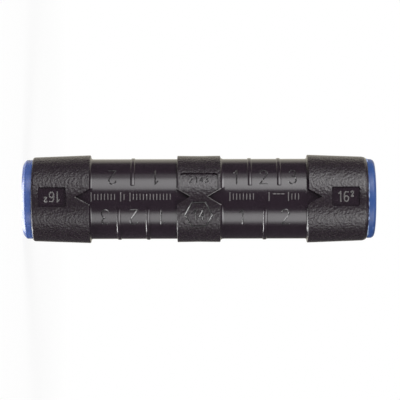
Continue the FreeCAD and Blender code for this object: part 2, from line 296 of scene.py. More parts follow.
# %% Cutting tools
def cut(piece, cutter):
    """Takes the cutter's volume out of the piece and removes the cutter."""
    only(piece)
    boolean = piece.modifiers.new("Cut", "BOOLEAN")
    boolean.operation = "DIFFERENCE"
    boolean.solver = "MANIFOLD"
    boolean.object = cutter
    bpy.ops.object.modifier_apply(modifier=boolean.name)
    print(f"{cutter.name}: {len(piece.data.polygons)} faces left")
    bpy.data.objects.remove(cutter)


def block(name, outline, floor, reach=3 * MM):
    """A straight block in front of the axis from an outline of (across, distance) points."""
    points = [(across, -floor, MIDDLE + distance) for across, distance in outline]
    piece = draw_wire(name, points)
    bpy.ops.object.mode_set(mode="EDIT")
    bpy.ops.mesh.select_all(action="SELECT")
    bpy.ops.mesh.edge_face_add()
    bpy.ops.mesh.extrude_region_move(TRANSFORM_OT_translate={"value": (0, -reach, 0)})
    bpy.ops.mesh.select_all(action="SELECT")
    bpy.ops.mesh.normals_make_consistent(inside=False)
    bpy.ops.object.mode_set(mode="OBJECT")
    return piece


def rounded_outline(distance, length, width, corner):
    """A rounded rectangle of (across, distance) points about the front line."""
    half_width, half_length = width / 2, length / 2
    quarters = [
        ((half_width, half_length), (0, -corner), (-corner, 0)),
        ((-half_width, half_length), (corner, 0), (0, -corner)),
        ((-half_width, -half_length), (0, corner), (corner, 0)),
        ((half_width, -half_length), (-corner, 0), (0, corner)),
    ]
    points = []
    for (across, along), before, after in quarters:
        points += eased((across, distance + along), before, after)
    return points


# %% Recessed plates in the collars
NOTCH_LENGTH = 2.8 * MM
NOTCH_TIP = COLLAR_START + NOTCH_LENGTH
PLATE_PLACE = (NOTCH_TIP + SHELL_END) / 2
PLATE_LENGTH = 5.7 * MM
PLATE_WIDTH = 4.0 * MM
PLATE_CORNER = 0.35 * MM
PLATE_FLOOR = COLLAR_RADIUS - 0.78 * MM
for side in (-1, 1):
    outline = rounded_outline(side * PLATE_PLACE, PLATE_LENGTH, PLATE_WIDTH, PLATE_CORNER)
    cut(shell, block("plate_cutter", outline, PLATE_FLOOR))
print(f"plates {PLATE_PLACE / MM:.2f} mm from the middle")

# %% Long panel in the band
PANEL_MARGIN = 0.62 * MM
PANEL_LENGTH = 2 * (BAND_EDGE - PANEL_MARGIN)
PANEL_WIDTH = 4.0 * MM
PANEL_CORNER = 0.5 * MM
PANEL_DEPTH = 0.42 * MM
PANEL_ANGLE = math.radians(-20.8)
PANEL_TIP = math.radians(-8)
PANEL_FLOOR = BAND_RADIUS - PANEL_DEPTH
outline = rounded_outline(0, PANEL_LENGTH, PANEL_WIDTH, PANEL_CORNER)
panel_block = block("panel_cutter", outline, PANEL_FLOOR - MM)
rim_middle = Matrix.Translation((0, -BAND_RADIUS, 0))
panel_tip = rim_middle @ Matrix.Rotation(PANEL_TIP, 4, "Z") @ rim_middle.inverted()
panel_block.data.transform(Matrix.Rotation(PANEL_ANGLE, 4, "Z") @ panel_tip)
bpy.ops.object.select_all(action="DESELECT")
bpy.ops.mesh.primitive_cylinder_add(
    vertices=SPIN_STEPS, radius=PANEL_FLOOR, depth=3 * BAND_EDGE, location=(0, 0, MIDDLE)
)
panel_core = bpy.context.active_object
panel_core.name = "panel_core"
bpy.ops.object.transform_apply(location=True)
cut(panel_block, panel_core)
cut(shell, panel_block)

# %% [markdown]
# The arrow notches go down to the tube and no further, so their floor is round. Their cutter is a
# short stretch of a ring, made by a part turn of spin, and bisect then slices its two slanting
# sides away, which leaves a triangle with a curved underside.

# %% Arrow notches
NOTCH_HALF_WIDTH = 1.55 * MM
NOTCH_FLOOR = TUBE_RADIUS - 0.01 * MM
NOTCH_SPREAD = math.radians(20)
NOTCH_STEPS = 28


def notch_cutter(tip, foot, edge):
    """A cutter that points to tip and is 2 * NOTCH_HALF_WIDTH wide at the distance edge."""
    outer = COLLAR_RADIUS + MM
    corners = [(NOTCH_FLOOR, tip), (outer, tip), (outer, foot), (NOTCH_FLOOR, foot)]
    start = math.radians(-90) - NOTCH_SPREAD
    points = [(r * math.cos(start), r * math.sin(start), MIDDLE + d) for r, d in corners]
    piece = draw_wire("notch_cutter", points)
    bpy.ops.object.mode_set(mode="EDIT")
    bpy.ops.mesh.select_all(action="SELECT")
    bpy.ops.mesh.edge_face_add()
    bpy.ops.mesh.spin(steps=NOTCH_STEPS, angle=-2 * NOTCH_SPREAD, center=(0, 0, 0), axis=(0, 0, 1))
    slope = (edge - tip) / NOTCH_HALF_WIDTH
    for side in (-1, 1):
        bpy.ops.mesh.select_all(action="SELECT")
        keep_out = Vector((side * abs(slope), 0, -math.copysign(1, slope))).normalized()
        bpy.ops.mesh.bisect(
            plane_co=(0, 0, MIDDLE + tip), plane_no=keep_out, use_fill=True, clear_outer=True
        )
    bpy.ops.mesh.select_all(action="SELECT")
    bpy.ops.mesh.normals_make_consistent(inside=False)
    bpy.ops.object.mode_set(mode="OBJECT")
    return piece


BAND_NOTCH_LENGTH = 2.62 * MM
BAND_NOTCH_TIP = BAND_EDGE - BAND_NOTCH_LENGTH
NOTCH_OVERRUN = 0.15 * MM
for side, collar_ramp, foot in ((-1, LOWER_RAMP, BAND_EDGE), (1, UPPER_RAMP, band_foot)):
    collar_foot = COLLAR_START - collar_ramp - NOTCH_OVERRUN
    cut(shell, notch_cutter(side * NOTCH_TIP, side * collar_foot, side * COLLAR_START))
    cut(shell, notch_cutter(side * BAND_NOTCH_TIP, side * (foot + NOTCH_OVERRUN), side * BAND_EDGE))
print(f"shell after cutting: {len(shell.data.polygons)} faces")

# %% Soften the moulded edges
EDGE_SOFTNESS = 0.09 * MM
EDGE_ANGLE = math.radians(75)
only(shell)
softening = shell.modifiers.new("Soften", "BEVEL")
softening.limit_method = "ANGLE"
softening.angle_limit = EDGE_ANGLE
softening.width = EDGE_SOFTNESS
softening.segments = 3
bpy.ops.object.modifier_apply(modifier=softening.name)
print(f"shell with softened edges: {len(shell.data.polygons)} faces")

# %% Smooth the shell
SHARP_ANGLE = math.radians(35)


def smooth(piece):
    """Smooth shading that keeps edges sharper than SHARP_ANGLE crisp, large faces flattest."""
    only(piece)
    bpy.ops.object.shade_smooth_by_angle(angle=SHARP_ANGLE)
    weighing = piece.modifiers.new("Weigh", "WEIGHTED_NORMAL")
    weighing.keep_sharp = True
    bpy.ops.object.modifier_apply(modifier=weighing.name)


smooth(shell)

# %% [markdown]
# ## Raised marks
# Numbers, a die sign and a graduated strip stand a little proud of the surface. A mould maker cuts
# them with a pointed tool that turns, so each is a ridge with two flat flanks and a half cone at
# either end. A round wire would be simpler, but flat flanks are what makes single strokes flash
# when they face a lamp. They are drawn flat as wires, given their four-sided section as bevelled
# curves, made meshes, and rolled onto the shell.


# %% Strokes of plain numbers
ARC_STEP = 11


def arc(centre, radii, start, end):
    """Points along part of an ellipse, angles in degrees, anticlockwise from the right."""
    steps = max(3, round(abs(end - start) / ARC_STEP))
    points = []
    for step in range(steps + 1):
        turn = math.radians(start + (end - start) * step / steps)
        across, up = radii[0] * math.cos(turn), radii[1] * math.sin(turn)
        points.append((centre[0] + across, centre[1] + up))
    return points


# Each number is drawn in a box one unit wide and two high, from its lower left corner
STROKES = {
    "1": [[(0.2, 1.6), (0.6, 2.0)], [(0.6, 2.0), (0.6, 0.0)]],
    "2": [arc((0.5, 1.5), (0.48, 0.5), 170, -30) + [(0.02, 0.0)], [(0.02, 0.0), (1.0, 0.0)]],
    "3": [arc((0.46, 1.53), (0.44, 0.47), 150, -90), arc((0.46, 0.53), (0.5, 0.53), 90, -155)],
    "4": [[(0.72, 0.0), (0.72, 2.0)], [(0.72, 2.0), (0.0, 0.6)], [(0.0, 0.6), (1.0, 0.6)]],
    "6": [
        [(0.85, 1.9)]
        + arc((0.5, 1.1), (0.46, 0.86), 100, 180)
        + arc((0.5, 0.55), (0.46, 0.55), 180, 540)
    ],
}


# %% Rolling strokes onto the shell
STROKE_CUTS = 4
CONE_SIDES = 20


def join(pieces, name):
    """One piece from several."""
    only(pieces[0])
    for piece in pieces[1:]:
        piece.select_set(True)
    if len(pieces) > 1:
        bpy.ops.object.join()
    pieces[0].name = name
    return pieces[0]


def cone_end(point, thickness):
    """A small cone that ends a stroke, as slanting as its flanks and half sunk like them."""
    bpy.ops.mesh.primitive_cone_add(
        vertices=CONE_SIDES, radius1=thickness, radius2=0, depth=thickness, location=(*point, 0)
    )
    bpy.ops.object.transform_apply(location=True)
    return bpy.context.active_object


def stroke_piece(name, strokes, thickness):
    """Thin ridges in the flat: each is a list of (along, up) points in metres."""
    parts = []
    for points in strokes:
        wire = draw_wire(name, [(along, up, 0) for along, up in points], closed=False)
        bpy.ops.object.mode_set(mode="EDIT")
        bpy.ops.mesh.select_all(action="SELECT")
        bpy.ops.mesh.subdivide(number_cuts=STROKE_CUTS)
        bpy.ops.object.mode_set(mode="OBJECT")
        only(wire)
        bpy.ops.object.convert(target="CURVE")
        wire.data.bevel_depth = thickness / 2
        wire.data.bevel_resolution = 0
        wire.data.use_fill_caps = True
        bpy.ops.object.convert(target="MESH")
        parts += [wire, cone_end(points[0], thickness), cone_end(points[-1], thickness)]
    return join(parts, name)


def roll_on(piece, distance, angle, radius, turned_round=False):
    """Rolls a flat piece onto a round surface: along becomes the axis, up goes round to -x."""
    way = -1 if turned_round else 1
    for vertex in piece.data.vertices:
        along, up, out = vertex.co
        round_by = angle - way * up / radius
        reach = radius + out
        vertex.co = (
            reach * math.sin(round_by),
            -reach * math.cos(round_by),
            MIDDLE + distance + way * along,
        )


def centred(number, width, height):
    """The number's strokes scaled from the one by two box to a size, about their own middle."""
    return [
        [((x - 0.5) * width, (y - 1.0) * height / 2) for x, y in points]
        for points in STROKES[number]
    ]


# %% [markdown]
# The press numbers count the presses outwards from the band: one to three on the quarters with
# three zones, one and two on the others. The left half of the picture is the right half turned end
# for end, so each number is made twice.

# %% Press numbers
NUMBER_HEIGHT = 3.3 * MM
NUMBER_WIDTH = 1.5 * MM
NUMBER_STROKE = 0.3 * MM
NUMBER_ANGLE = math.radians(30)
NUMBERS_OF_THREE = {"1": 7.55 * MM, "2": 13.2 * MM, "3": 19.1 * MM}
NUMBERS_OF_TWO = {"1": 8.75 * MM, "2": 17.6 * MM}
numbers = []
for places, angle in ((NUMBERS_OF_THREE, -NUMBER_ANGLE), (NUMBERS_OF_TWO, NUMBER_ANGLE)):
    for number, place in places.items():
        for way in (1, -1):
            strokes = centred(number, NUMBER_WIDTH, NUMBER_HEIGHT)
            piece = stroke_piece("press_number", strokes, NUMBER_STROKE)
            roll_on(piece, way * place, way * angle, TUBE_RADIUS, turned_round=way < 0)
            numbers.append(piece)
press_numbers = join(numbers, "press_numbers")
smooth(press_numbers)
print(f"press numbers: {len(press_numbers.data.polygons)} faces")

# %% [markdown]
# The plates carry the conductor's section, a plain sixteen with a small raised two. The die sign is
# a hexagon on the band with the die's width across flats in it. Both are on surfaces of their own:
# the plate's floor is flat, so it gets its marks by a plain move instead of rolling. Four sides of
# the notches have a fine raised lip, which is drawn in the same way.

# %% Plate numbers
PLATE_NUMBER_SIZE = (0.95 * MM, 2.0 * MM)
PLATE_NUMBER_STROKE = 0.27 * MM
ONE_PLACE = -1.15 * MM
SIX_PLACE = 0.1 * MM
SMALL_TWO_PLACE = (1.3 * MM, 0.55 * MM)
SMALL_SHARE = 0.5


def moved(strokes, along, up, share=1.0):
    """Strokes shrunk to a share of their size and moved."""
    return [[(x * share + along, y * share + up) for x, y in points] for points in strokes]


sixteen = (
    moved(centred("1", *PLATE_NUMBER_SIZE), ONE_PLACE, 0)
    + moved(centred("6", *PLATE_NUMBER_SIZE), SIX_PLACE, 0)
    + moved(centred("2", *PLATE_NUMBER_SIZE), *SMALL_TWO_PLACE, SMALL_SHARE)
)
plate_pieces = []
for way in (1, -1):
    piece = stroke_piece("plate_number", sixteen, PLATE_NUMBER_STROKE)
    for vertex in piece.data.vertices:
        along, up, out = vertex.co
        vertex.co = (-way * up, -PLATE_FLOOR - out, MIDDLE + way * (PLATE_PLACE + along))
    plate_pieces.append(piece)
plate_numbers = join(plate_pieces, "plate_numbers")
smooth(plate_numbers)

# %% Die sign on the band
HEXAGON_ANGLE = math.radians(24.7)
HEXAGON_PLACE = -0.02 * MM
HEXAGON_HALF = 2.8 * MM
HEXAGON_TALL = 1.08 * HEXAGON_HALF
HEXAGON_STROKE = 0.3 * MM
HEXAGON_RAISED = 0.02 * MM
DIE_ONE_PLACE = -0.75 * MM
DIE_FOUR_PLACE = 0.6 * MM
turns = [math.radians(60 * corner) for corner in range(7)]
corners = [(HEXAGON_HALF * math.cos(turn), HEXAGON_TALL * math.sin(turn)) for turn in turns]
hexagon = [list(ends) for ends in zip(corners, corners[1:])]
die_numbers = (
    moved(centred("1", *PLATE_NUMBER_SIZE), DIE_ONE_PLACE, 0)
    + moved(centred("4", *PLATE_NUMBER_SIZE), DIE_FOUR_PLACE, 0)
)
die_sign = stroke_piece("die_sign", hexagon + die_numbers, HEXAGON_STROKE)
roll_on(die_sign, HEXAGON_PLACE, HEXAGON_ANGLE, BAND_RADIUS + HEXAGON_RAISED)
smooth(die_sign)
print(f"die sign: {len(die_sign.data.polygons)} faces")

# %% Lips along the notches
LIP_STROKE = 0.11 * MM
LIP_INSET = 0.1 * MM
LIP_ON_COLLAR = COLLAR_RADIUS - 0.04 * MM
lips = []
for tip, foot, way, surface in (
    (-BAND_NOTCH_TIP, -BAND_EDGE, 1, BAND_RADIUS),
    (BAND_NOTCH_TIP, BAND_EDGE, 1, BAND_RADIUS),
    (BAND_NOTCH_TIP, BAND_EDGE, -1, BAND_RADIUS),
    (-NOTCH_TIP, -COLLAR_START, -1, LIP_ON_COLLAR),
):
    line = [(tip, way * LIP_INSET), (foot, way * (NOTCH_HALF_WIDTH + LIP_INSET))]
    lip = stroke_piece("lip", [line], LIP_STROKE)
    roll_on(lip, 0, 0, surface)
    lips.append(lip)
notch_lips = join(lips, "notch_lips")
smooth(notch_lips)

# %% Small numbers in the panel
PANEL_NUMBER_SIZE = (0.62 * MM, 1.3 * MM)
PANEL_NUMBER_STEP = 1.05 * MM
PANEL_NUMBER_UP = 0.5 * MM
PANEL_NUMBER_STROKE = 0.22 * MM
panel_strokes = []
for count, number in enumerate("2143"):
    strokes = centred(number, *PANEL_NUMBER_SIZE)
    panel_strokes += moved(strokes, (count - 1.5) * PANEL_NUMBER_STEP, PANEL_NUMBER_UP)
panel_numbers = stroke_piece("panel_numbers", panel_strokes, PANEL_NUMBER_STROKE)
roll_on(panel_numbers, 0, PANEL_ANGLE, PANEL_FLOOR)
smooth(panel_numbers)

# %% [markdown]
# Between the arrow notches the front carries a strip of fine raised marks. Here it is a plain
# graduation in groups, as on a stripping gauge: short lines, and a longer one to start each group.
# A dashed line, with a bar across its start, says that the groups measure a length.

# %% Graduated strip
TICK_STROKE = 0.2 * MM
TICK_STEP = 0.68 * MM
SHORT_TICK = 1.05 * MM
LONG_TICK = 1.6 * MM
GAUGE_GROUPS = (
    (-21.9 * MM, 8), (-15.9 * MM, 2), (-14.0 * MM, 13), (6.3 * MM, 8), (18.2 * MM, 4)
)
DASH_UP = 0.55 * MM
DASH_LENGTH = 0.5 * MM
DASHES_FROM = 15.1 * MM
DASH_STEP = 0.85 * MM
DASHES = 3
ticks = []
for start, count in GAUGE_GROUPS:
    for number in range(count):
        half = (SHORT_TICK if number else LONG_TICK) / 2
        along = start + number * TICK_STEP
        ticks.append([(along, -half), (along, half)])
bar = DASHES_FROM - DASH_STEP
ticks.append([(bar, -LONG_TICK / 2), (bar, LONG_TICK / 2)])
for number in range(DASHES):
    along = DASHES_FROM + number * DASH_STEP
    ticks.append([(along, DASH_UP), (along + DASH_LENGTH, DASH_UP)])
gauge = stroke_piece("graduated_strip", ticks, TICK_STROKE)
roll_on(gauge, 0, 0, TUBE_RADIUS)
smooth(gauge)
print(f"graduated strip: {len(ticks)} lines")

# %% [markdown]
# ## End rings
# The blue rings close the ends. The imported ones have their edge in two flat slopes. The real upper
# ring has a round edge and the lower one a flat slope with soft corners, so each is turned again
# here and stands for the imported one. Both edges come from the same helper: a quarter ellipse can
# round a square corner or one between slanting lines.

# %% Blue end rings
ROUND_DROP = 0.85 * MM
ROUND_LENGTH = 0.85 * MM
SLOPE_DROP = 0.80 * MM
SLOPE_LENGTH = 0.68 * MM
SLOPE_EASE = 0.18 * MM
ENTRY_EASE = 0.6 * MM
RING_HOLE = 4.3 * MM
SPIGOT_RADIUS = SOCKET_RADIUS - 0.1 * MM
SPIGOT_END = SHELL_END - 1.6 * MM
slope = Vector((-SLOPE_DROP, SLOPE_LENGTH))
ease_along = slope.normalized() * SLOPE_EASE
slope_start = Vector((FLANGE_RADIUS, SLEEVE_END - SLOPE_LENGTH))
sloping_edge = (
    eased(slope_start, (0, -SLOPE_EASE), ease_along)
    + eased(slope_start + slope, -ease_along, (-SLOPE_EASE, 0))
)
round_edge = eased((FLANGE_RADIUS, SLEEVE_END), (0, -ROUND_LENGTH), (-ROUND_DROP, 0))


def end_ring(name, side, seat, edge):
    """The ring below (-1) or above (1) the middle, from its seat on the collar over its edge."""
    half = (
        [(RING_HOLE, SPIGOT_END), (SPIGOT_RADIUS, SPIGOT_END), (SPIGOT_RADIUS, seat)]
        + [(FLANGE_RADIUS, seat)]
        + edge
        + eased((RING_HOLE, SLEEVE_END), (ENTRY_EASE, 0), (0, -ENTRY_EASE))
    )
    return turned(name, [(radius, side * distance) for radius, distance in half])


rings = {
    "lower_end_ring": end_ring("lower_ring", -1, LOWER_END, sloping_edge),
    "upper_end_ring": end_ring("upper_ring", 1, SHELL_END, round_edge),
}
for node, ring in rings.items():
    smooth(ring)
    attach(ring, "root")
    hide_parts(node)

# %% [markdown]
# Where ring and collar meet, a little plastic was squeezed out and stayed as a thin pale line, in
# stretches of uneven width. On the lower ring the front stretch is a painted highlight: a pale bead
# put where the joint's edge catches the light. A torus is too even, so its vertices are drawn in or
# out by how far each is round from the middle of a stretch, with a sum of sines on top, which closes
# on itself.

# %% Flash line between ring and collar
FLASH_RADIUS = FLANGE_RADIUS - 0.03 * MM
FLASH_THICKNESS = 0.15 * MM
FLASH_LEAST = 0.08
FLASH_STEPS = 480
FLASH_SIDES = 8
# How often each wave comes round, and where it starts
FLASH_WAVES = ((11, 0.9), (23, 1.7), (37, 2.6))
WAVE_SHARE = 0.5
# Middle, half length and size of each stretch, in degrees round from the front
# The lower line's front stretch is a painted highlight: a pale bead where the joint's edge catches
# the light
LOWER_FLASHES_AND_HIGHLIGHT = ((8, 20, 0.32), (-62, 5, 0.8), (70, 14, 0.6), (118, 20, 0.7), (196, 34, 0.9))
UPPER_FLASHES = (
    (-76, 12, 1.25), (-9, 13, 0.7), (11, 4, 0.6), (23, 4, 0.9), (33, 3, 0.9), (60, 15, 1.0),
    (105, 6, 0.8), (135, 22, 1.1), (190, 9, 1.0), (222, 17, 0.9), (251, 6, 0.8),
)


def stretch_size(angle, flashes):
    """Size of the flash at this angle: full in the middle of a stretch, nothing past its ends."""
    size = 0.0
    for middle, half, full in flashes:
        away = abs((math.degrees(angle) - middle + 180) % 360 - 180) / half
        size = max(size, full * (1 - away**4))
    return size


def flash_line(name, distance, flashes):
    """A thin uneven bead round the joint, this distance from the middle."""
    bpy.ops.object.select_all(action="DESELECT")
    bpy.ops.mesh.primitive_torus_add(
        major_segments=FLASH_STEPS, minor_segments=FLASH_SIDES, major_radius=FLASH_RADIUS,
        minor_radius=FLASH_THICKNESS, location=(0, 0, 0),
    )
    piece = bpy.context.active_object
    piece.name = name
    height = Vector((0, 0, MIDDLE + distance))
    for vertex in piece.data.vertices:
        angle = angle_from_front(vertex.co)
        waves = [math.sin(count * angle + shift) for count, shift in FLASH_WAVES]
        unevenness = 1 + WAVE_SHARE * sum(waves) / len(waves)
        spread = max(FLASH_LEAST, stretch_size(angle, flashes) * unevenness)
        ring_point = Vector((vertex.co.x, vertex.co.y, 0)).normalized() * FLASH_RADIUS
        vertex.co = ring_point + (vertex.co - ring_point) * spread + height
    smooth(piece)
    return piece


flashes = [
    flash_line("lower_flash_and_highlight", -LOWER_END, LOWER_FLASHES_AND_HIGHLIGHT),
    flash_line("upper_flash", SHELL_END, UPPER_FLASHES),
]

# %% [markdown]
# Everything rides on the one body there is.

# %% Pieces onto the frame
for piece in (shell, press_numbers, plate_numbers, panel_numbers, die_sign, notch_lips, gauge):
    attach(piece, "root")
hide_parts("insulating_shell")
for piece in flashes:
    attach(piece, "root")

# %% [markdown]
# ## Materials
# A material is a small graph, and it is easier to read where each node is written with what goes
# into it. So these helpers take a value for an input, or another node's output, which they link.


# %% Node helpers
def feed(node, inputs):
    """Gives a node's inputs their values. One that is given an output is linked to it."""
    for socket, value in inputs.items():
        if isinstance(value, bpy.types.NodeSocket):
            node.id_data.links.new(value, node.inputs[socket])
        else:
            node.inputs[socket].default_value = value


def add(tree, kind, inputs=None, **settings):
    """A node with its settings and its inputs."""
    node = tree.nodes.new(kind)
    for setting, value in settings.items():
        setattr(node, setting, value)
    feed(node, inputs or {})
    return node


def new_material(name):
    """An empty material with a Principled shader wired to its output."""
    material = bpy.data.materials.new(name)
    material.use_nodes = True
    tree = material.node_tree
    tree.nodes.clear()
    shader = add(tree, "ShaderNodeBsdfPrincipled")
    add(tree, "ShaderNodeOutputMaterial", {"Surface": shader.outputs["BSDF"]})
    return material, tree, shader


# %% [markdown]
# The kinds of node that come again and again get helpers of their own. Each gives back an output,
# so that one can stand inside another, as in a formula.


# %% Helpers for the commonest nodes
def own_place(tree):
    """The piece's own coordinates, so that a pattern stays on it."""
    return add(tree, "ShaderNodeTexCoord").outputs["Object"]


def maths(tree, operation, *inputs):
    """What a sum, product or other operation gives."""
    return add(tree, "ShaderNodeMath", dict(enumerate(inputs)), operation=operation).outputs[0]


def vector_maths(tree, operation, *inputs):
    """The same for vectors. Some operations give a single value."""
    node = add(tree, "ShaderNodeVectorMath", dict(enumerate(inputs)), operation=operation)
    return node.outputs["Value" if operation in ("LENGTH", "DOT_PRODUCT") else "Vector"]


def mapped(tree, value, given, wanted, **settings):
    """A value taken from one range to another, each as its two ends."""
    inputs = {"Value": value, "From Min": given[0], "From Max": given[1]}
    inputs |= {"To Min": wanted[0], "To Max": wanted[1]}
    return add(tree, "ShaderNodeMapRange", inputs, **settings).outputs["Result"]


def noise(tree, place, scale, detail, **more):
    """Cloudy noise between 0 and 1, this many clouds to the metre."""
    inputs = {"Vector": place, "Scale": scale, "Detail": detail, **more}
    return add(tree, "ShaderNodeTexNoise", inputs).outputs["Fac"]


def ramp(tree, source, dark, pale):
    """Black up to one value and white from another on."""
    node = add(tree, "ShaderNodeValToRGB", {"Fac": source})
    for element, position, grey in zip(node.color_ramp.elements, (dark, pale), (0, 1)):
        element.position = position
        element.color = (grey, grey, grey, 1)
    return node.outputs["Color"]


def mix_colours(tree, mask, low, high):
    """A colour that goes from low to high as the mask goes from 0 to 1."""
    ends = [end if isinstance(end, bpy.types.NodeSocket) else (*end, 1) for end in (low, high)]
    inputs = {"Factor": mask, "A": ends[0], "B": ends[1]}
    return add(tree, "ShaderNodeMix", inputs, data_type="RGBA").outputs["Result"]


def bumped(tree, height, strength, distance, **more):
    """A normal tipped by a height."""
    inputs = {"Height": height, "Strength": strength, "Distance": distance, **more}
    return add(tree, "ShaderNodeBump", inputs).outputs["Normal"]


# %% [markdown]
# Two effects serve several finishes. Spark grain is the fine frosting of a spark-eroded mould: two
# sizes of noise added as a height. Dust is a sparse pale speckle, as on any part from a box.


# %% Shared effects
def new_group(name, inputs, output):
    """A shader group with float inputs, given with their defaults, and one float output."""
    group = bpy.data.node_groups.new(name, "ShaderNodeTree")
    floats = {"socket_type": "NodeSocketFloat"}
    for socket, default in inputs.items():
        made = group.interface.new_socket(name=socket, in_out="INPUT", **floats)
        made.default_value = default
    group.interface.new_socket(name=output, in_out="OUTPUT", **floats)
    return group, group.nodes.new("NodeGroupInput").outputs, group.nodes.new("NodeGroupOutput")


def make_spark_grain():
    group, given, result = new_group("spark_grain", {"Scale": 4000.0}, "Height")
    place = own_place(group)
    fine = noise(group, place, given["Scale"], 3.0, Roughness=0.6)
    coarse_scale = maths(group, "MULTIPLY", given["Scale"], 0.8)
    coarse = add(
        group, "ShaderNodeTexVoronoi", {"Vector": place, "Scale": coarse_scale},
        feature="SMOOTH_F1",
    )
    feed(result, {"Height": maths(group, "ADD", fine, coarse.outputs["Distance"])})
    return group


def make_dust():
    group, given, result = new_group("dust", {"Scale": 900.0, "Amount": 0.5}, "Mask")
    place = own_place(group)
    specks = ramp(group, noise(group, place, given["Scale"], 2.0), 0.62, 0.74)
    patches = ramp(group, noise(group, place, 160.0, 2.0), 0.4, 0.65)
    both = maths(group, "MULTIPLY", specks, patches)
    feed(result, {"Mask": maths(group, "MULTIPLY", both, given["Amount"])})
    return group


SPARK_GRAIN = make_spark_grain()
DUST = make_dust()


def effect(tree, group, **values):
    """What a shared effect puts out, placed in a material with this material's own values."""
    return add(tree, "ShaderNodeGroup", values, node_tree=group).outputs[0]


# %% [markdown]
# The shell is one plastic with two finishes: the tube and the floors of the recesses are polished,
# the collars and the band are frosted. What tells them apart is how far the surface is from the
# axis, so a mask is made from the object's own coordinates, with no painted map.

# %% Black moulded plastic
FROSTED_FROM = TUBE_RADIUS + 0.30 * MM
FROSTED_FULLY = TUBE_RADIUS + 0.36 * MM
BAND_EXTRA = 0.08 * MM
BLACK = (0.012, 0.0072, 0.0115)
MOTTLED_BLACK = (0.018, 0.014, 0.016)
DUSTY_BLACK = (0.085, 0.078, 0.078)
POLISHED_ROUGHNESS = 0.18
FROSTED_ROUGHNESS = 0.30
MOTTLED_EXTRA = -0.06
POLISHED_LEVEL = 0.5
FROSTED_LEVEL = 0.35
WHOLE = (0.0, 1.0)


def frosted_mask(tree, place):
    """0 on the polished surfaces near the axis, 1 on the frosted ones further out.

    Within the band the limit is nearer the axis, so that the long panel's floor is half frosted.
    """
    from_axis = vector_maths(tree, "LENGTH", vector_maths(tree, "MULTIPLY", place, (1, 1, 0)))
    height = add(tree, "ShaderNodeSeparateXYZ", {"Vector": place}).outputs["Z"]
    in_band = maths(tree, "COMPARE", height, MIDDLE, BAND_EDGE)
    reach = maths(tree, "MULTIPLY_ADD", in_band, BAND_EXTRA, from_axis)
    return mapped(tree, reach, (FROSTED_FROM, FROSTED_FULLY), WHOLE)


def black_plastic():
    material, tree, shader = new_material("moulded_black")
    place = own_place(tree)
    mask = frosted_mask(tree, place)
    speckle = ramp(tree, noise(tree, place, 1700.0, 3.0, Roughness=0.65), 0.42, 0.66)
    mottled = maths(tree, "MULTIPLY", speckle, mask)
    dust = effect(tree, DUST, Scale=4200.0, Amount=0.35)
    dullness = mapped(tree, mask, WHOLE, (POLISHED_ROUGHNESS, FROSTED_ROUGHNESS))
    ripple = bumped(tree, noise(tree, place, 260.0, 1.0), 1.0, 0.012 * MM)
    frosting = maths(tree, "MULTIPLY", effect(tree, SPARK_GRAIN, Scale=2700.0), mask)
    plain = mix_colours(tree, mottled, BLACK, MOTTLED_BLACK)
    feed(shader, {
        "IOR": 1.56,
        "Base Color": mix_colours(tree, dust, plain, DUSTY_BLACK),
        "Roughness": maths(tree, "MULTIPLY_ADD", mottled, MOTTLED_EXTRA, dullness),
        "Specular IOR Level": mapped(tree, mask, WHOLE, (POLISHED_LEVEL, FROSTED_LEVEL)),
        "Normal": bumped(tree, frosting, 1.0, 0.07 * MM, Normal=ripple),
    })
    return material


# %% [markdown]
# The raised marks are the same plastic with paler backs: partly pale specks rubbed by handling,
# partly a painted highlight for the light their flanks catch. The strip of fine lines, the plate
# numbers and the notch lips are palest, an even pale grey that is a painted highlight for the glint
# of their raised lines. The rings are a brighter plastic, a little rough, with the flash paler; part
# of the flash's pale is a painted highlight along the joint. The upper ring is a little duller and
# darker than the lower one.


# %% Other plastics
# Pale patches on a dark base: partly rubbing, partly a painted highlight for the light that raised
# marks catch
def rubbed_and_highlit_black(name, dark, pale):
    material, tree, shader = new_material(name)
    rub_and_highlight = effect(tree, DUST, Scale=1900.0, Amount=1.0)
    feed(shader, {
        "IOR": 1.5,
        "Base Color": mix_colours(tree, rub_and_highlight, dark, pale),
        "Roughness": 0.2,
    })
    return material


def blue_plastic(name, blue, pale, roughness, level=0.5):
    material, tree, shader = new_material(name)
    dust = effect(tree, DUST, Scale=1500.0, Amount=0.6)
    feed(shader, {
        "IOR": 1.49,
        "Specular IOR Level": level,
        "Base Color": mix_colours(tree, dust, blue, pale),
        "Roughness": roughness,
        "Subsurface Weight": 0.15,
        "Subsurface Radius": (0.3, 0.4, 1.0),
        "Subsurface Scale": 0.4 * MM,
        "Normal": bumped(tree, effect(tree, SPARK_GRAIN, Scale=3000.0), 0.25, 0.02 * MM),
    })
    return material


RING_BLUE = (0.037, 0.068, 0.205)
DEEP_BLUE = (0.021, 0.055, 0.180)
RING_PALE = (0.16, 0.21, 0.42)
FLASH_AND_HIGHLIGHT_BLUE = (0.26, 0.34, 0.52)
FLASH_AND_HIGHLIGHT_WHITE = (0.62, 0.68, 0.78)
black = black_plastic()
# Pale backs of the marks: partly rubbing, partly a painted highlight
rubbed_and_highlit = rubbed_and_highlit_black("rubbed_highlit_marks", (0.02, 0.019, 0.02), (0.20, 0.19, 0.19))
# The even pale grey of strip, plate numbers and lips is a painted highlight for the glint of their
# raised lines
highlit_strip_finish = rubbed_and_highlit_black("highlit_strip", (0.12, 0.115, 0.115), (0.4, 0.39, 0.39))
ring_finish = blue_plastic("ring_blue", RING_BLUE, RING_PALE, 0.26)
deep_finish = blue_plastic("ring_deep_blue", DEEP_BLUE, RING_PALE, 0.38, 0.36)
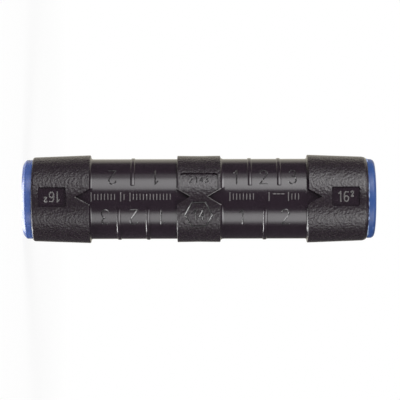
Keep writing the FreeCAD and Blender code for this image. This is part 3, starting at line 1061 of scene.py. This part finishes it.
# The flash's pale colour is partly a painted highlight along the joint
flash_and_highlight_finish = blue_plastic("flash_pale_and_highlight", FLASH_AND_HIGHLIGHT_BLUE, FLASH_AND_HIGHLIGHT_WHITE, 0.5)

# %% [markdown]
# Inside, through the cable entry, the seal's lips and the barrel's mouth show. Rubber is dark and
# dull. The barrel is turned aluminium: fine rings across the axis, a bump of sine waves along z.

# %% Rubber and turned aluminium
RUBBER = (0.03, 0.03, 0.033)
DUSTY_RUBBER = (0.12, 0.12, 0.12)
ALUMINIUM = (0.62, 0.62, 0.63)
BRIGHT_ALUMINIUM = (0.82, 0.82, 0.83)


def seal_rubber():
    material, tree, shader = new_material("seal_rubber_finish")
    dust = effect(tree, DUST, Scale=1800.0, Amount=0.8)
    feed(shader, {
        "Base Color": mix_colours(tree, dust, RUBBER, DUSTY_RUBBER),
        "Roughness": 0.62,
        "Normal": bumped(tree, effect(tree, SPARK_GRAIN, Scale=2600.0), 0.4, 0.03 * MM),
    })
    return material


def turned_aluminium():
    material, tree, shader = new_material("turned_aluminium")
    place = own_place(tree)
    tool_marks = add(
        tree, "ShaderNodeTexWave",
        {"Vector": place, "Scale": 900.0, "Distortion": 0.6, "Detail": 2.0},
        wave_type="BANDS", bands_direction="Z",
    )
    smear = noise(tree, place, 700.0, 4.0)
    feed(shader, {
        "Metallic": 1.0,
        "Base Color": mix_colours(tree, smear, ALUMINIUM, BRIGHT_ALUMINIUM),
        "Roughness": mapped(tree, smear, WHOLE, (0.22, 0.42)),
        "Normal": bumped(tree, tool_marks.outputs["Fac"], 0.5, 0.02 * MM),
    })
    return material


# %% Give each piece its finish
def finish_with(piece, material):
    """The piece wears this material alone."""
    piece.data.materials.clear()
    piece.data.materials.append(material)


finish_with(shell, black)
for piece in (press_numbers, panel_numbers, die_sign):
    finish_with(piece, rubbed_and_highlit)
for piece in (plate_numbers, notch_lips, gauge):
    finish_with(piece, highlit_strip_finish)
finish_with(rings["lower_end_ring"], ring_finish)
finish_with(rings["upper_end_ring"], deep_finish)
for piece in flashes:
    finish_with(piece, flash_and_highlight_finish)
rubber = seal_rubber()
for node in ("lower_seal", "upper_seal"):
    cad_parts[node].material_slots[0].material = rubber
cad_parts["conductor_barrel"].material_slots[0].material = turned_aluminium()
print("materials:", ", ".join(sorted(m.name for m in bpy.data.materials if m.users)))

# %% [markdown]
# ## Studio
# The floor is a plain white plane under the standing sleeve. To the camera it is almost self-lit,
# and wholly so away from the sleeve, so it reads as the white of a catalogue page and still takes a
# soft shadow. Mirror rays and lamp light pass it, so the boxes below reach the sleeve as well.

# %% Floor
FLOOR_SIZE = 40.0
FLOOR_WHITE = (0.9, 0.9, 0.9, 1)
SHADE_SHARE = 0.12
SHADE_RANGE = (0.05, 0.16)
bpy.ops.object.select_all(action="DESELECT")
bpy.ops.mesh.primitive_plane_add(size=FLOOR_SIZE, location=(0, 0, 0))
floor = bpy.context.active_object
floor.name = "studio_floor"
floor_material, tree, shader = new_material("floor_white")
feed(shader, {"Base Color": FLOOR_WHITE, "Roughness": 1.0})
ray = add(tree, "ShaderNodeLightPath").outputs
white_share = mapped(
    tree, vector_maths(tree, "LENGTH", own_place(tree)), SHADE_RANGE, (1 - SHADE_SHARE, 1.0),
    interpolation_type="SMOOTHSTEP",
)
lit = maths(tree, "MULTIPLY", white_share, ray["Is Camera Ray"])
glow = add(tree, "ShaderNodeEmission", {"Color": (1, 1, 1, 1), "Strength": 1.0})
share = add(
    tree, "ShaderNodeMixShader",
    {"Fac": lit, 1: shader.outputs["BSDF"], 2: glow.outputs["Emission"]},
)
through = maths(tree, "MAXIMUM", ray["Is Glossy Ray"], ray["Is Shadow Ray"])
clear = add(tree, "ShaderNodeBsdfTransparent")
surface = add(
    tree, "ShaderNodeMixShader",
    {"Fac": through, 1: share.outputs["Shader"], 2: clear.outputs["BSDF"]},
)
output = next(node for node in tree.nodes if node.type == "OUTPUT_MATERIAL")
feed(output, {"Surface": surface.outputs["Shader"]})
finish_with(floor, floor_material)

# %% [markdown]
# The world is white to the camera. What the glossy tube mirrors matters more: a white backdrop
# behind the sleeve, which only shows at its grazing edges, and a dim room on the camera's side. The
# direction's x and y, made one long, tell the two apart, so the backdrop is as long as the axis.

# %% World
BACKDROP_TURN = math.radians(21)
BACKDROP_RANGE = (0.777, 0.899)
BACKDROP_COLOUR = (0.84, 0.80, 0.68)
ROOM_COLOUR = (0.10, 0.10, 0.10)
AMBIENT_COLOUR = (0.15, 0.15, 0.15)
WHITE = (1, 1, 1)
world = bpy.data.worlds.new("studio")
bpy.context.scene.world = world
world.use_nodes = True
tree = world.node_tree
tree.nodes.clear()
way = add(tree, "ShaderNodeTexCoord").outputs["Generated"]
round_axis = vector_maths(tree, "NORMALIZE", vector_maths(tree, "MULTIPLY", way, (1, 1, 0)))
towards = (-math.sin(BACKDROP_TURN), math.cos(BACKDROP_TURN), 0)
facing = vector_maths(tree, "DOT_PRODUCT", round_axis, towards)
behind = mapped(tree, facing, BACKDROP_RANGE, WHOLE)
mirrored = mix_colours(tree, behind, ROOM_COLOUR, BACKDROP_COLOUR)
ray = add(tree, "ShaderNodeLightPath").outputs
for_glossy = mix_colours(tree, ray["Is Glossy Ray"], AMBIENT_COLOUR, mirrored)
for_camera = mix_colours(tree, ray["Is Camera Ray"], for_glossy, WHITE)
background = add(tree, "ShaderNodeBackground", {"Color": for_camera, "Strength": 1.0})
add(tree, "ShaderNodeOutputWorld", {"Surface": background.outputs["Background"]})

# %% [markdown]
# Two tall soft boxes stand in front, one each side. Their mirror images are the two grey bands
# that run along the tube. A band's place on the tube fixes the direction of its box: a mirror
# turned by an angle throws light back at twice that angle. Each box is two lamps, a wide weak one
# and a narrow one in it, as a real box is brightest in the middle. Their light is narrowed and
# turned upwards, so it gets weaker towards the sleeve's lower end. A third box below that end
# lights what faces it. Two more down there have to be strong to show in a narrow slope. One makes
# the slanting strokes flash and one draws the pale rim on the ring. On the whole wall they would
# make a white glare for anyone who looks at the sleeve from above, so each is linked to its own
# pieces and lights no other.

# %% Soft boxes
BOX_DISTANCE = 0.70
BOX_HEIGHT = 1.3
BOX_SPREAD = math.radians(90)
BOX_TURN = math.radians(26.5)


def soft_box(name, radiance, direction, width, height, turn=0.0, pieces=()):
    """A lamp in this direction from the sleeve's middle, turned to face it or by turn above it.

    Where pieces are given, it lights those alone.
    """
    lamp = bpy.data.lights.new(name, "AREA")
    lamp.shape = "RECTANGLE"
    lamp.size = width
    lamp.size_y = height
    lamp.energy = radiance * math.pi * width * height
    if turn:
        # Narrowed light fades to nothing at half its spread, so the energy makes up for the turn
        lamp.spread = BOX_SPREAD
        half = BOX_SPREAD / 2
        lamp.energy *= (math.tan(half) - half) / (math.tan(half) - math.tan(turn))
    holder = bpy.data.objects.new(name, lamp)
    bpy.context.scene.collection.objects.link(holder)
    towards_box = Vector(direction).normalized()
    across = Vector((0, 0, 1)).cross(towards_box).normalized()
    back = Matrix.Rotation(-turn, 3, across) @ towards_box
    place = Matrix((across, back.cross(across), back)).transposed().to_4x4()
    place.translation = Vector((0, 0, MIDDLE)) + BOX_DISTANCE * towards_box
    holder.matrix_world = place
    if pieces:
        lit = bpy.data.collections.new(f"{name}_pieces")
        for piece in pieces:
            lit.objects.link(piece)
        holder.light_linking.receiver_collection = lit
    print(f"{name}: {width:.2f} by {height:.2f} m, {lamp.energy:.1f} W")


def side_box(name, radiance, first, last):
    """A tall box between two angles round from the front, in degrees, as the sleeve sees it."""
    middle = math.radians((first + last) / 2)
    width = 2 * BOX_DISTANCE * math.tan(math.radians(abs(last - first) / 2))
    direction = (math.sin(middle), -math.cos(middle), 0)
    soft_box(name, radiance, direction, width, BOX_HEIGHT, BOX_TURN)


side_box("left_box", 1.1, -74, -23.5)
side_box("left_core", 2.9, -58, -23.5)
side_box("right_box", 1.2, 39, 79)
side_box("right_core", 2.1, 45, 72)
soft_box("end_box", 8.5, (0.30, 0.43, -0.85), 0.80, 0.55)
slanting_marks = (press_numbers, panel_numbers, die_sign)
soft_box("spark_box", 13.0, (-0.09, -0.24, -0.965), 0.32, 0.13, pieces=slanting_marks)
lower_rim = (rings["lower_end_ring"],)
soft_box("rim_box", 8.0, (-0.06, 0.10, -0.99), 0.45, 0.60, pieces=lower_rim)

# %% [markdown]
# ## Camera
# The sleeve lies across the picture, so the camera is rolled a quarter turn: picture right is +z.
# A long lens from 45 cm gives the mild perspective, and a swing of three degrees towards +x puts
# the front line just above the middle of the tube.

# %% Camera
CAMERA_DISTANCE = 0.450
CAMERA_SWING = math.radians(3.1)
CAMERA_TILT = math.radians(0.15)
PICTURE_PIXELS = 400
PICTURE_WIDTH = 82.76 * MM
CENTRE_X_PIXEL = 198.9
CENTRE_Y_PIXEL = 198.8
SENSOR = 36.0
pixel = PICTURE_WIDTH / PICTURE_PIXELS
forward = Vector((-math.sin(CAMERA_SWING), math.cos(CAMERA_SWING), 0))
along = Vector((0, 0, 1))
upwards = along.cross(forward)
right = math.cos(CAMERA_TILT) * along - math.sin(CAMERA_TILT) * upwards
up = math.sin(CAMERA_TILT) * along + math.cos(CAMERA_TILT) * upwards
aim = Vector((0, 0, MIDDLE))
aim += (PICTURE_PIXELS / 2 - CENTRE_X_PIXEL) * pixel * right
aim -= (PICTURE_PIXELS / 2 - CENTRE_Y_PIXEL) * pixel * up
camera_data = bpy.data.cameras.new("catalogue_camera")
camera_data.sensor_width = SENSOR
camera_data.lens = SENSOR * CAMERA_DISTANCE / PICTURE_WIDTH
camera_data.clip_start = 0.01
camera = bpy.data.objects.new("catalogue_camera", camera_data)
bpy.context.scene.collection.objects.link(camera)
place = Matrix((right, up, -forward)).transposed().to_4x4()
place.translation = aim - CAMERA_DISTANCE * forward
camera.matrix_world = place
bpy.context.scene.camera = camera
bpy.context.scene.view_settings.view_transform = "Standard"
print(f"lens {camera_data.lens:.1f} mm at {CAMERA_DISTANCE * 1000:.0f} mm")
